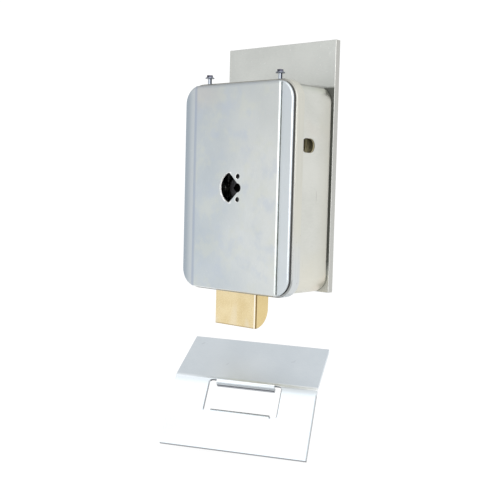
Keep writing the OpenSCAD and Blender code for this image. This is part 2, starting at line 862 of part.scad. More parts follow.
// Plunger with a fork over the lever
module plunger() {
  color("silver") difference() {
    translate([solenoid_x, lever_mid, plunger_low])
      cylinder(d = plunger_d, h = plunger_top - plunger_low);
    translate([solenoid_x - plunger_d, lever_face - fork_gap, plunger_low - past])
      cube([2 * plunger_d, lever_t + 2 * fork_gap, fork_top - plunger_low + past]);
    at([solenoid_x, plunger_pin_z])
      rod(plunger_pin_d + 2 * thread_fit, lever_mid - plunger_d, lever_mid + plunger_d);
  }
}

module plunger_pin() {
  half = plunger_d / 2 - 0.3;
  color("silver") at([solenoid_x, plunger_pin_z]) rod(plunger_pin_d, lever_mid - half, lever_mid + half);
}

// C-shaped frame with a fixing ear above the coil
module solenoid_frame() {
  frame_l = case_floor - frame_front;
  color("lightgray") difference() {
    union() {
      translate([solenoid_x - frame_w / 2, case_floor - frame_t, frame_z])
        cube([frame_w, frame_t, ear_top - frame_z]);
      for (z = [frame_z, frame_top - frame_t])
        translate([solenoid_x - frame_w / 2, frame_front, z]) cube([frame_w, frame_l, frame_t]);
    }
    translate([solenoid_x, lever_mid, frame_z - past])
      cylinder(d = bobbin_bore + 0.4, h = frame_t + 2 * past);
    translate([solenoid_x, lever_mid, frame_top - frame_t - past])
      cylinder(d = pole_spigot_d + 2 * thread_fit, h = frame_t + 2 * past);
    for (p = frame_screw_points)
      at(p) rod(screw_d + 2 * screw_room, case_floor - frame_t - past, case_floor + past);
  }
}

module bobbin() {
  color("whitesmoke") translate([solenoid_x, lever_mid, 0]) difference() {
    union() {
      for (z = [bobbin_low, bobbin_top - bobbin_flange_t])
        translate([0, 0, z]) cylinder(d = coil_d + 1, h = bobbin_flange_t);
      translate([0, 0, bobbin_low]) cylinder(d = bobbin_tube_d, h = bobbin_top - bobbin_low);
    }
    translate([0, 0, bobbin_low - past]) cylinder(d = bobbin_bore, h = bobbin_top - bobbin_low + 2 * past);
  }
}

module coil() {
  low = bobbin_low + bobbin_flange_t;
  high = bobbin_top - bobbin_flange_t;
  color("sienna") translate([solenoid_x, lever_mid, low]) difference() {
    cylinder(d = coil_d, h = high - low);
    translate([0, 0, -past]) cylinder(d = bobbin_tube_d + 2 * winding_gap, h = high - low + 2 * past);
  }
}

module pole_piece() {
  color("silver") translate([solenoid_x, lever_mid, 0]) {
    translate([0, 0, pole_low]) cylinder(d = plunger_d, h = pole_l);
    translate([0, 0, bobbin_top - past]) cylinder(d = pole_spigot_d, h = frame_t + pole_rivet_h / 2 + past);
    translate([0, 0, frame_top]) cylinder(d = pole_rivet_d, h = pole_rivet_h);
  }
}

module solenoid_screws() {
  color("silver") for (p = frame_screw_points)
    at(p) front_screw(screw_d, screw_head_d, screw_head_h, case_floor - frame_t, screw_tip_y);
}

module coil_leads() {
  color("crimson") for (route = lead_routes)
    tube(curve(route, lead_steps), lead_d, lead_sides);
}

// Base with a rib beside each clamp
module terminal_base() {
  color("darkslategray") difference() {
    union() {
      slab(base_face, case_floor)
        translate([terminal_x - base_w / 2, terminal_z - base_h / 2]) square([base_w, base_h]);
      for (k = [-1, 0, 1])
        slab(base_face - rib_h, base_face + past)
          translate([terminal_x + k * clamp_pitch - rib_t / 2, terminal_z - clamp_l / 2])
            square([rib_t, clamp_l]);
    }
    for (p = base_screw_points)
      at(p) rod(terminal_screw_d + 2 * screw_room, base_face - past, case_floor + past);
  }
}

module terminal_clamps() {
  color("goldenrod") for (p = clamp_points)
    difference() {
      translate([p[0] - clamp_w / 2, base_face - clamp_t, p[1] - clamp_l / 2])
        cube([clamp_w, clamp_t, clamp_l]);
      translate([p[0], clamp_y, p[1] - clamp_l / 2 - past])
        cylinder(d = clamp_bore, h = clamp_l + 2 * past);
      for (z = [-1, 1])
        at([p[0], p[1] + z * clamp_l / 4])
          rod(terminal_screw_d + 2 * thread_fit, base_face - clamp_t - past, clamp_y);
    }
}

module terminal_screws() {
  seat_y = base_face - clamp_t - 1;
  color("silver") for (p = clamp_points, z = [-1, 1])
    at([p[0], p[1] + z * clamp_l / 4])
      front_screw(terminal_screw_d, terminal_screw_head_d, 1.5, seat_y, clamp_y - lead_d / 2 - 0.2);
}

module terminal_base_screws() {
  color("silver") for (p = base_screw_points)
    at(p) front_screw(
      terminal_screw_d, terminal_screw_head_d, 2, base_face, plate_front - 0.2
    );
}

// Side view of the bent plate, with its bend at the origin
module strike_profile() {
  half = strike_bend / 2;
  along = [cos(strike_bend), -sin(strike_bend)];
  outward = [sin(strike_bend), cos(strike_bend)];
  difference() {
    polygon([
      [-strike_leg, 0], [0, 0], strike_leg * along, strike_leg * along - strike_t * outward,
      [-strike_t * tan(half), -strike_t], [-strike_leg, -strike_t]
    ]);
    difference() {
      polygon([
        [-bend_len, 0], [-bend_len, past], 2 * past * [sin(half), cos(half)],
        bend_len * along + past * outward, bend_len * along
      ]);
      translate([-bend_len, -strike_bend_r]) circle(r = strike_bend_r * bend_cross);
    }
  }
}

// Side view of a lip turned down from the plate, its root at x = 0
module lip_profile() {
  translate([-lip_root, -strike_t]) square([lip_root + strike_t - lip_r, strike_t]);
  translate([0, -lip_h]) square([strike_t, lip_h - lip_r]);
  intersection() {
    translate([strike_t - lip_r, -lip_r]) circle(r = lip_r);
    translate([0, -lip_r]) square([strike_t, lip_r]);
  }
}

module along_x(length) {
  translate([-length / 2, 0, 0]) rotate([90, 0, 90]) linear_extrude(length) children();
}

// Bent plate with a slot beside its bend, and a lip at the front and back of the slot
module strike() {
  color("lightgray") translate(strike_place) rotate(strike_turn) {
    difference() {
      along_x(strike_w) strike_profile();
      translate([0, -(slot_back + slot_front) / 2, -strike_t - strike_bend_r])
        linear_extrude(strike_t + strike_bend_r + past) rounded(slot_w, slot_d, relief_r);
    }
    translate([0, -slot_back, -lip_sink]) along_x(lip_w) mirror([1, 0]) lip_profile();
    translate([0, -slot_front, 0]) along_x(lip_w) lip_profile();
  }
}

fixing_plate();
case();
lid_frame();
gasket();
cover();
cover_studs();
cover_nuts();
cover_screws();
case_screws();
chassis_plate();
chassis_spacers();
chassis_screws();
bolt_guide();
guide_screws();
bolt();
lift_pin();
bolt_spring();
spring_rod();
key_follower();
follower_bush();
follower_clip();
release_lever();
lever_stud();
lever_clip();
plunger();
plunger_pin();
solenoid_frame();
bobbin();
coil();
pole_piece();
solenoid_screws();
coil_leads();
terminal_base();
terminal_clamps();
terminal_screws();
terminal_base_screws();
strike();
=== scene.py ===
import json
import math

import bmesh
import bpy
from mathutils import Matrix, Vector

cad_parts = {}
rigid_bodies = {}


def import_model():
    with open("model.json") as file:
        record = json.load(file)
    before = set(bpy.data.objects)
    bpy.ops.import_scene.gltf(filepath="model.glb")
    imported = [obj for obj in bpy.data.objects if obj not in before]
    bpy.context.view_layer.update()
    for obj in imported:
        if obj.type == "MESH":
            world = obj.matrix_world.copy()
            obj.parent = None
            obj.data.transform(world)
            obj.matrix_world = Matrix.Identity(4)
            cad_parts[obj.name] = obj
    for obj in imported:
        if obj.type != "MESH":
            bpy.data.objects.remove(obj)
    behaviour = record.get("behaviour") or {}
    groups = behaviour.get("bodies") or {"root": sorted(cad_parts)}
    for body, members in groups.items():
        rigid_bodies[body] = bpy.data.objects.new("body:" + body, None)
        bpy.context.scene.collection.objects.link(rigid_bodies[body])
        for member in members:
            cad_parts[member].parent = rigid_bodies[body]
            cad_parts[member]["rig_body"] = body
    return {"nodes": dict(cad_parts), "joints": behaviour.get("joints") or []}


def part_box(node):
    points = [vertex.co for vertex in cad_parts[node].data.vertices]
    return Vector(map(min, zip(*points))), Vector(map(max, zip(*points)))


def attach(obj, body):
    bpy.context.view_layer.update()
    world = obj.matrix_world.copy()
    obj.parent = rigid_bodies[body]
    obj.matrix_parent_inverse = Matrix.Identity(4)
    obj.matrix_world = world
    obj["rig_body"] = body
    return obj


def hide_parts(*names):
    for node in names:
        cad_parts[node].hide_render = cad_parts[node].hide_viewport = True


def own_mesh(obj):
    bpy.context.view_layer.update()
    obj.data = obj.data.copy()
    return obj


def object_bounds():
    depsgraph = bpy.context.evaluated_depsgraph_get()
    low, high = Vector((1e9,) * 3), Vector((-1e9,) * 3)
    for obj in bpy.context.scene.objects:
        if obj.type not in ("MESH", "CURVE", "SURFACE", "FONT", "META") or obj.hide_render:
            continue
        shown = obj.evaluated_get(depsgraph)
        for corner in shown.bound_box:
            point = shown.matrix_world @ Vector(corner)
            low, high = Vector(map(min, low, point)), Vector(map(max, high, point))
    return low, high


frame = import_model()
cad_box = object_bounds()
nodes = frame["nodes"]
scene = bpy.context.scene

MM = 0.001


# Camera at the photograph's place: right of the lock, level with its middle
PHOTO_PX = 500
CAMERA_PLACE = Vector((0.42162, -0.50995, 0.00204))
CAMERA_YAW = math.radians(41.45)
CAMERA_PITCH = math.radians(4.14)
CAMERA_ROLL = math.radians(1.5)
FOCAL_PX = 893.16
SENSOR_MM = 36


def make_camera():
    data = bpy.data.cameras.new("camera")
    data.sensor_fit = "HORIZONTAL"
    data.sensor_width = SENSOR_MM
    data.lens = FOCAL_PX / PHOTO_PX * SENSOR_MM
    data.clip_start = 0.01
    data.clip_end = 50
    flat = math.cos(CAMERA_PITCH)
    back = Vector((math.sin(CAMERA_YAW) * flat, -math.cos(CAMERA_YAW) * flat, math.sin(CAMERA_PITCH)))
    level = Vector((math.cos(CAMERA_YAW), math.sin(CAMERA_YAW), 0))
    upright = level.cross(-back)
    right = math.cos(CAMERA_ROLL) * level + math.sin(CAMERA_ROLL) * upright
    up = math.cos(CAMERA_ROLL) * upright - math.sin(CAMERA_ROLL) * level
    camera = bpy.data.objects.new("camera", data)
    camera.matrix_world = Matrix.Translation(CAMERA_PLACE) @ Matrix((right, up, back)).transposed().to_4x4()
    scene.collection.objects.link(camera)
    scene.camera = camera


class Value:
    """A number socket; arithmetic on it adds Math nodes."""

    def __init__(self, paint, socket):
        self.paint = paint
        self.socket = socket

    def __add__(self, other):
        return self.paint.math("ADD", self, other)

    def __radd__(self, other):
        return self.paint.math("ADD", other, self)

    def __sub__(self, other):
        return self.paint.math("SUBTRACT", self, other)

    def __rsub__(self, other):
        return self.paint.math("SUBTRACT", other, self)

    def __mul__(self, other):
        return self.paint.math("MULTIPLY", self, other)

    def __rmul__(self, other):
        return self.paint.math("MULTIPLY", other, self)

    def larger(self, other):
        return self.paint.math("MAXIMUM", self, other)

    def size(self):
        return self.paint.math("ABSOLUTE", self)


class Paint:
    """The nodes of one material or of the world."""

    def __init__(self, owner, output="ShaderNodeOutputMaterial"):
        self.owner = owner
        owner.use_nodes = True
        self.tree = owner.node_tree
        self.tree.nodes.clear()
        self.output = self.tree.nodes.new(output)

    def node(self, kind, settings=None, sockets=None):
        made = self.tree.nodes.new(kind)
        for key, setting in (settings or {}).items():
            setattr(made, key, setting)
        for key, given in (sockets or {}).items():
            socket = made.inputs[key]
            if isinstance(given, Value):
                self.tree.links.new(given.socket, socket)
            elif isinstance(given, bpy.types.NodeSocket):
                self.tree.links.new(given, socket)
            elif isinstance(given, tuple) and socket.type == "RGBA":
                socket.default_value = (*given, 1)
            else:
                socket.default_value = given
        return made

    def math(self, operation, *terms):
        made = self.node("ShaderNodeMath", {"operation": operation}, dict(enumerate(terms)))
        return Value(self, made.outputs[0])

    def distance(self, first, second):
        return self.math("SQRT", first * first + second * second)

    def place(self, stretch=(1, 1, 1), shift=(0, 0, 0)):
        coordinates = self.node("ShaderNodeTexCoord")
        mapping = self.node(
            "ShaderNodeMapping",
            {"vector_type": "POINT"},
            {"Vector": coordinates.outputs["Object"], "Location": shift, "Scale": stretch},
        )
        return mapping.outputs["Vector"]

    def axes(self, origin=(0, 0, 0), turn=(0, 0, 0)):
        """The place of a point in a frame with this origin in mm and this turn in degrees, in mm."""
        coordinates = self.node("ShaderNodeTexCoord")
        local = self.node(
            "ShaderNodeMapping",
            {"vector_type": "TEXTURE"},
            {
                "Vector": coordinates.outputs["Object"],
                "Location": tuple(k * MM for k in origin),
                "Rotation": tuple(math.radians(k) for k in turn),
                "Scale": (MM, MM, MM),
            },
        )
        split = self.node("ShaderNodeSeparateXYZ", None, {"Vector": local.outputs["Vector"]})
        return [Value(self, split.outputs[k]) for k in range(3)]

    def noise(self, scale, detail=3.0, roughness=0.5, stretch=(1, 1, 1), shift=(0, 0, 0)):
        place = self.place(stretch, shift)
        made = self.node(
            "ShaderNodeTexNoise",
            None,
            {"Vector": place, "Scale": scale, "Detail": detail, "Roughness": roughness},
        )
        return Value(self, made.outputs["Fac"])

    def between(self, amount, low, high):
        """Amount run from 0 at low to 1 at high, smooth and held at both ends."""
        made = self.node(
            "ShaderNodeMapRange",
            {"interpolation_type": "SMOOTHSTEP", "clamp": True},
            {"Value": amount, "From Min": low, "From Max": high},
        )
        return Value(self, made.outputs["Result"])

    def band(self, amount, low, high, soft):
        """1 from low to high, falling to 0 over the soft width on both sides."""
        return self.between(amount, low - soft, low) * (1 - self.between(amount, high, high + soft))

    def tone(self, cloud, grain, share=0.7, spread=0.20):
        """A mix of two patterns, in which the cloud has this share, run from 0 to 1 about its middle."""
        return self.between(cloud * share + grain * (1 - share), 0.5 - spread, 0.5 + spread)

    def rough(self, middle, *parts):
        """A roughness about a middle value; each part is a pattern and how far it moves the roughness."""
        for pattern, spread in parts:
            middle = middle + (pattern - 0.5) * spread
        return middle

    def field(self, towards, inner, outer):
        """1 within the inner angle of a direction of the world, 0 outside the outer one; in degrees."""
        ray = self.node("ShaderNodeTexCoord").outputs["Generated"]
        aim = tuple(Vector(towards).normalized())
        near = self.node("ShaderNodeVectorMath", {"operation": "DOT_PRODUCT"}, {0: ray, 1: aim})
        off = self.math("ARCCOSINE", Value(self, near.outputs["Value"]))
        made = self.node(
            "ShaderNodeMapRange",
            {"clamp": True},
            {"Value": off, "From Min": math.radians(outer), "From Max": math.radians(inner)},
        )
        return Value(self, made.outputs["Result"])

    def ray(self, kind):
        """1 for rays of a kind, such as Camera or Glossy."""
        return Value(self, self.node("ShaderNodeLightPath").outputs[f"Is {kind} Ray"])

    def blend(self, amount, first, second):
        made = self.node(
            "ShaderNodeMix", {"data_type": "RGBA", "blend_type": "MIX"}, {0: amount, 6: first, 7: second}
        )
        return made.outputs[2]

    def over(self, colour, *coats):
        """A colour with coats over it, in order; each coat is how far it covers and its colour."""
        for covers, coat in coats:
            colour = self.blend(covers, colour, coat)
        return colour

    def bump(self, height, distance):
        made = self.node("ShaderNodeBump", None, {"Height": height, "Distance": distance})
        return made.outputs["Normal"]

    def surface(self, shader):
        self.tree.links.new(shader.outputs[0], self.output.inputs["Surface"])
        return self.owner

    def finish(self, **sockets):
        named = {key.replace("_", " "): given for key, given in sockets.items()}
        return self.surface(self.node("ShaderNodeBsdfPrincipled", None, named))


def new_paint(name):
    return Paint(bpy.data.materials.new(name))


def box_mm(node):
    """The low and the high corner of a solid, in mm."""
    return [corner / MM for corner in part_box(node)]


# Corners of the solids whose edges the finishes follow, in mm
COVER_LOW, COVER_HIGH = box_mm("cover")
CASE_LOW, CASE_HIGH = box_mm("case")
LID_LOW, LID_HIGH = box_mm("lid_frame")
PLATE_LOW, PLATE_HIGH = box_mm("fixing_plate")
BOLT_LOW, BOLT_HIGH = box_mm("bolt")
SCREW_LOW, SCREW_HIGH = box_mm("cover_screws")

# Cover: half width of the raised panel, arc of the key cut-out and the two small holes beside it, in mm
PANEL_EDGE = 40
KEY_X = -1.75
KEY_RADIUS = 11
PILOT_X = 4
PILOT_Z = 8
PILOT_RADIUS = 1.85

# Case: half sizes of the block between its rounded corners, and the rear end of the cable hole, in mm
CORE_X = 37
CORE_Z = 60
CORNER_RADIUS = CASE_HIGH.x - CORE_X
CABLE_Y = -27.6
CABLE_Z = 29.8
CABLE_RADIUS = 4.85

# Bolt: top of its thick part, in mm
BOLT_BODY_TOP = -39

# Strike: place in mm and turn in degrees, then half widths of plate, slot and lip in mm
STRIKE_PLACE = (-0.3, -33.3, -139.2)
STRIKE_TURN = (53.3, 1.9, 28.2)
STRIKE_HALF = 52.5
SLOT_HALF = 27
LIP_HALF = 21.5

# Cover screws: middle of the pair and half their spacing in mm, and the photograph's right along x and y
SCREW_X = -0.7
SCREW_SPREAD = 33
RIGHT_X = 0.75
RIGHT_Y = 0.66

# Depth of the grain in the surface, in m
ZINC_BUMP = 0.000015
METAL_BUMP = 0.00002
MOULDED_BUMP = 0.00003
WINDING_BUMP = 0.0001


def from_core(paint, x, z):
    """How far a point lies outside the block between the rounded corners of the case."""
    return paint.distance((x.size() - CORE_X).larger(0), (z.size() - CORE_Z).larger(0))


# Finishes: the colours are linear, and places along x, y and z are in mm
def cover_zinc():
    """Satin zinc plate with faint patches and specks. Its colour holds painted shading, darker and bluer to
    the left and towards the top and paler to the right, painted tones on the side strips, painted shade in
    the foot of the right step, on the top edge and in the small holes, and painted highlights on the lower
    edge and on the rims of the holes.
    """
    paint = new_paint("cover_zinc")
    x, y, z = paint.axes()
    drift = (paint.noise(14, 3, 0.5) - 0.5) * 40
    cloud = paint.noise(32, 4, 0.55)
    grain = paint.noise(1100, 3, 0.6, stretch=(1, 1, 0.35))
    speck = paint.between(paint.noise(900, 2, 0.4, shift=(1.3, 0.2, 2.1)), 0.69, 0.80)
    yellow = paint.between(paint.noise(75, 4, 0.6, shift=(2.4, 0.9, 1.6)), 0.46, 0.66)
    blue = paint.between(paint.noise(60, 4, 0.6, shift=(5.2, 3.3, 0.7)), 0.50, 0.68)
    rosy = paint.between(z + drift * 0.5, 48, 64) * (1 - paint.between(x, -30, -5))
    # Painted shading: the plate darker towards the top, and darker and bluer to the left than to the right.
    upper_half = paint.between(z + drift, -15, 80)
    rightward = paint.between(x + drift, COVER_LOW.x - 1.5, COVER_HIGH.x - 3.5)
    dark = paint.blend(rightward, (0.455, 0.51, 0.555), (0.62, 0.645, 0.635))
    light = paint.blend(rightward, (0.515, 0.565, 0.60), (0.69, 0.71, 0.695))
    # Painted shading on the side strips: the left strip darker towards its outer edge with a painted dark
    # line at the panel's left step, and the right strip a painted paler bluish tone.
    along_strip = paint.between(x, COVER_LOW.x + 2, COVER_LOW.x + 8.5)
    strip_tone = paint.blend(along_strip, (0.35, 0.40, 0.45), (0.51, 0.55, 0.575))
    left_strip = 1 - paint.between(x, -PANEL_EDGE - 0.8, -PANEL_EDGE - 0.3)
    left_step = paint.band(x, -PANEL_EDGE, -PANEL_EDGE + 2.2, 1.6)
    right_strip = paint.between(x, PANEL_EDGE + 0.2, PANEL_EDGE + 0.6)
    right_step = paint.band(x, PANEL_EDGE - 0.05, PANEL_EDGE + 0.4, 0.1)
    # Painted shade: a dark line in the crease at the foot of the panel's right step.
    step_foot = right_step * paint.between(y, COVER_LOW.y + 1, COVER_LOW.y + 1.3) * (0.3 + grain)
    # Painted shade along the top edge and a painted highlight along the lower edge.
    top_edge = paint.between(z, COVER_HIGH.z - 3.3, COVER_HIGH.z - 1.1)
    lower_edge = 1 - paint.between(z, COVER_LOW.z + 0.2, COVER_LOW.z + 1.3)
    # Painted highlights: the left rims of the key cut-out and of the small holes matt and near white.
    # Painted shade: the walls of the small holes black.
    from_key = paint.distance(x - KEY_X, z)
    key_highlight = (1 - paint.between(from_key, KEY_RADIUS, KEY_RADIUS + 0.15)) * (1 - paint.between(x, -5, -1))
    from_pilot = paint.distance(x - PILOT_X, z.size() - PILOT_Z)
    pilot_rim = 1 - paint.between(from_pilot, PILOT_RADIUS + 0.15, PILOT_RADIUS + 0.4)
    pilot_highlight = pilot_rim * (1 - paint.between(x, PILOT_X - 0.8, PILOT_X - 0.2))
    pilot_wall = 1 - paint.between(from_pilot, PILOT_RADIUS - 0.13, PILOT_RADIUS)
    hole_highlights = key_highlight.larger(pilot_highlight)
    colour = paint.over(
        paint.blend(paint.tone(cloud, grain), dark, light),
        (upper_half * 0.42, (0.44, 0.47, 0.475)),
        (yellow * 0.35, (0.61, 0.63, 0.56)),
        (blue * 0.40, (0.475, 0.53, 0.62)),
        (rosy * 0.5, (0.56, 0.54, 0.52)),
        (left_strip, strip_tone),
        (left_step * 0.70, (0.36, 0.41, 0.50)),
        (right_strip * 0.7, (0.57, 0.62, 0.66)),
        (speck * 0.35, (0.80, 0.82, 0.83)),
        (step_foot * 0.8, (0.07, 0.07, 0.06)),
        (top_edge * 0.45, (0.32, 0.35, 0.38)),
        (lower_edge * 0.9, (0.92, 0.93, 0.93)),
        (hole_highlights, (0.90, 0.90, 0.88)),
        (pilot_wall, (0.01, 0.01, 0.01)),
    )
    return paint.finish(
        Base_Color=colour,
        # The painted highlights and the painted black walls of the small holes are not metallic.
        Metallic=1 - pilot_wall.larger(hole_highlights),
        Roughness=paint.rough(0.36, (cloud, 0.14), (grain, 0.10)),
        Normal=paint.bump(grain, ZINC_BUMP),
    )


def case_zinc():
    """Creamy zinc plate with faint yellow and rosy patches and a few scratches, lighter and rosier towards
    the bottom. Its colour holds painted shade towards the rear, along the upper right rounding and on the
    inside, and painted light on the rim of the cable hole.
    """
    paint = new_paint("case_zinc")
    x, y, z = paint.axes()
    cloud = paint.noise(30, 4, 0.55)
    grain = paint.noise(1000, 3, 0.6, stretch=(1, 0.3, 1))
    yellow = paint.between(paint.noise(24, 3, 0.5, shift=(3.1, 1.7, 0.4)), 0.48, 0.68)
    rosy = paint.between(paint.noise(30, 3, 0.5, shift=(7.3, 2.6, 5.0)), 0.54, 0.70)
    lines = paint.noise(420, 2, 0.4, stretch=(1, 1, 0.12), shift=(2.2, 0.8, 0.1))
    scratch = paint.between(lines, 0.73, 0.78)
    low_end = 1 - paint.between(z + (cloud - 0.5) * 40, CASE_LOW.z + 8, CASE_LOW.z + 36)
    # Painted shade: darker towards the rear, next to the plate.
    rear = paint.between(y, CASE_HIGH.y - 19, CASE_HIGH.y)
    # Painted shade: a dark stripe along the upper rounding on the right, short of the flat top.
    top_round = paint.between(z, CASE_HIGH.z - 2.6, CASE_HIGH.z - 0.5)
    top_round = top_round * (1 - paint.between(z, CASE_HIGH.z - 0.2, CASE_HIGH.z - 0.02))
    top_round = top_round * paint.between(x, 30, 34)
    # Painted shade: the inside of the case dark.
    off_back = 1 - paint.between(y, CASE_HIGH.y - 1.2, CASE_HIGH.y - 0.6)
    within_wall = 1 - paint.between(from_core(paint, x, z), CORNER_RADIUS - 0.6, CORNER_RADIUS - 0.1)
    inside = within_wall * off_back
    # Painted light: the rim wall of the cable hole a lighter, less metallic yellowish tone.
    from_cable = paint.distance(y - CABLE_Y, z - CABLE_Z)
    cable_rim = 1 - paint.between(from_cable, CABLE_RADIUS + 0.55, CABLE_RADIUS + 0.95)
    cable_rim = cable_rim * paint.band(x, CASE_HIGH.x - 2, CASE_HIGH.x - 0.5, 0.2)
    colour = paint.over(
        paint.blend(paint.tone(cloud, grain), (0.575, 0.585, 0.545), (0.66, 0.665, 0.625)),
        (yellow * 0.6, (0.66, 0.645, 0.50)),
        (rosy * (0.15 + low_end * 0.6), (0.72, 0.62, 0.52)),
        (low_end * 0.5, (0.70, 0.67, 0.565)),
        (rear * 0.5, (0.54, 0.525, 0.45)),
        (scratch * 0.4, (0.33, 0.32, 0.30)),
        (top_round * 0.75, (0.15, 0.145, 0.13)),
        (inside, (0.10, 0.10, 0.095)),
        (cable_rim, (0.46, 0.41, 0.25)),
    )
    return paint.finish(
        Base_Color=colour,
        Metallic=1 - cable_rim * 0.9,
        Roughness=paint.rough(0.36, (cloud, 0.16), (grain, 0.10)),
        Normal=paint.bump(grain, ZINC_BUMP),
    )


def lid_zinc():
    """Zinc plate of the lid frame: creamy at the top, bluish below, with runs down its sides and painted
    shade along its front edge.
    """
    paint = new_paint("lid_zinc")
    _, y, z = paint.axes()
    cloud = paint.noise(30, 4, 0.55, shift=(1.1, 4.0, 2.0))
    runs = paint.noise(900, 2, 0.5, stretch=(1, 1, 0.02))
    mark = paint.between(paint.noise(500, 2, 0.4, shift=(0.4, 2.9, 1.2)), 0.72, 0.78)
    upward = paint.between(z + (cloud - 0.5) * 60, -62, -14)
    # Painted shade: the front edge dark beside the gap of the gasket.
    front_edge = 1 - paint.between(y, LID_LOW.y + 0.4, LID_LOW.y + 1.4)
    colour = paint.over(
        paint.blend(upward, (0.61, 0.635, 0.64), (0.635, 0.63, 0.565)),
        (paint.between(runs, 0.45, 0.75) * 0.25, (0.45, 0.47, 0.49)),
        (mark * 0.4, (0.25, 0.23, 0.20)),
        (front_edge * 0.65, (0.18, 0.18, 0.17)),
    )
    return paint.finish(
        Base_Color=colour,
        Metallic=1.0,
        Roughness=paint.rough(0.36, (cloud, 0.16), (runs, 0.10)),
        Normal=paint.bump(runs, ZINC_BUMP),
    )


def plate_zinc():
    """Grey zinc plate, with a painted shadow of the case in the crevice beside it and in a line above it,
    and a darker edge on the right.
    """
    paint = new_paint("plate_zinc")
    x, _, z = paint.axes()
    cloud = paint.noise(26, 4, 0.55)
    grain = paint.noise(1000, 3, 0.6, stretch=(0.3, 1, 1))
    speck = paint.between(paint.noise(700, 2, 0.4), 0.68, 0.78)
    right_edge = paint.between(x, PLATE_HIGH.x - 0.3, PLATE_HIGH.x - 0.15)
    # Painted shadow of the case on the plate: in the crevice beside the case and round its corners, and in
    # a slanting line above its top.
    beside = paint.between(from_core(paint, x, z), CORNER_RADIUS - 1.1, CORNER_RADIUS - 0.7)
    beside = beside * paint.band(x, 40, PLATE_HIGH.x - 0.5, 0.4)
    beside = beside * paint.between(z, CASE_LOW.z + 8, CASE_LOW.z + 24)
    beside = beside * (1 - paint.between(z, CASE_HIGH.z - 1.5, CASE_HIGH.z + 0.5))
    above = paint.band(z + x * 0.135, CASE_HIGH.z + 3.5, CASE_HIGH.z + 5.5, 0.9) * paint.band(x, 32, 41, 3)
    painted_shadow = beside.larger(above * 0.3) * (0.8 + cloud * 0.3)
    colour = paint.over(
        paint.blend(paint.tone(cloud, grain), (0.52, 0.535, 0.515), (0.60, 0.615, 0.59)),
        (right_edge, (0.50, 0.50, 0.475)),
        (speck * 0.45, (0.76, 0.76, 0.74)),
        (painted_shadow, (0.028, 0.030, 0.022)),
    )
    return paint.finish(
        Base_Color=colour,
        # Where the shadow is painted, the plate is also less metallic and rougher.
        Metallic=1 - painted_shadow * 0.8,
        Roughness=paint.rough(0.40, (cloud, 0.14), (grain, 0.10)) + painted_shadow * 0.3,
        Normal=paint.bump(grain, ZINC_BUMP),
    )


def strike_zinc():
    """Bright zinc plate with a few marks. Its colour holds painted light in the middle of the rear leg and
    along the fold, painted shade just below the fold, on its cut edges, rims and notches and on the face of
    the lip, and painted light on a band and the lower end of the lip.
    """
    paint = new_paint("strike_zinc")
    u, v, w = paint.axes(STRIKE_PLACE, STRIKE_TURN)
    aside = u.size()
    cloud = paint.noise(30, 4, 0.55)
    grain = paint.noise(1100, 3, 0.6, stretch=(0.3, 1, 1))
    mark = paint.between(paint.noise(260, 2, 0.4, stretch=(1, 0.25, 1), shift=(0.6, 1.8, 0.3)), 0.72, 0.78)
    # Painted light: a paler middle on the rear leg, offsetting the reflection of the lock in it.
    middle = paint.between(u, -48, -4) * (1 - paint.between(u, -5, 26))
    middle = middle * paint.between(v, 0.5, 2.5) * (1 - paint.between(v, -2, 42))
    # Painted highlight along the fold and painted shade just below it, both stronger to the right.
    rightward = paint.between(u, -20, 30)
    behind_fold = paint.band(v, -0.6, 1.2, 1.0) * (0.25 + rightward * 0.70)
    below_fold = paint.between(v, -7.0, -1.7) * (1 - paint.between(v, -1.6, -0.7))
    below_fold = below_fold * (0.42 + rightward * 0.36)
    # Painted shade: dark cut edges, slot sides, right rims and relief notches.
    cut_edge = (1 - paint.between(w, -0.6, -0.3)) * (1 - paint.between(v, -5, -4.4))
    right_cut = cut_edge * paint.between(u, STRIKE_HALF - 0.5, STRIKE_HALF - 0.2)
    slot_sides = paint.band(aside, SLOT_HALF - 0.4, SLOT_HALF, 0.1) * paint.band(v, -25, -3, 0.5)
    slot_right = paint.band(u, SLOT_HALF - 0.5, SLOT_HALF + 0.3, 0.15) * paint.band(v, -24, -3, 0.5)
    plate_right = paint.between(u, STRIKE_HALF - 0.75, STRIKE_HALF - 0.6) * (1 - paint.between(v, -5, -4))
    right_rims = slot_right.larger(plate_right * 0.7)
    past_lip = paint.between(aside, LIP_HALF - 0.1, LIP_HALF + 0.1)
    notch = paint.band(v, -1.6, -0.5, 0.2) * past_lip * (1 - paint.between(w, -0.9, -0.6))
    notch = notch * (1 - paint.between(aside, SLOT_HALF, SLOT_HALF + 0.3))
    # Painted shade on the face of the lip of the slot, with a painted lighter band across it and painted
    # light at its lower end.
    lip = paint.band(v, -4, -2, 0.3) * (1 - past_lip)
    colour = paint.over(
        paint.blend(paint.tone(cloud, grain), (0.63, 0.685, 0.73), (0.695, 0.745, 0.785)),
        (mark * 0.3, (0.42, 0.45, 0.50)),
        (middle * 0.6, (0.92, 0.96, 0.99)),
        (behind_fold, (0.88, 0.91, 0.93)),
        (below_fold, (0.42, 0.445, 0.46)),
        (cut_edge, (0.25, 0.26, 0.28)),
        (right_cut, (0.10, 0.105, 0.11)),
        (slot_sides * 0.7, (0.22, 0.23, 0.25)),
        (right_rims * 0.85, (0.22, 0.23, 0.24)),
        (notch, (0.10, 0.11, 0.12)),
        (lip * (1 - paint.between(w, -3.0, -2.2)), (0.07, 0.075, 0.09)),
        (lip * paint.band(w, -5.6, -4.8, 0.4), (0.42, 0.44, 0.48)),
        (lip * (1 - paint.between(w, -6.3, -6.1)), (0.75, 0.77, 0.80)),
    )
    return paint.finish(
        Base_Color=colour,
        Metallic=1.0,
        Roughness=paint.rough(0.36, (cloud, 0.12), (grain, 0.08)),
        Normal=paint.bump(grain, ZINC_BUMP),
    )


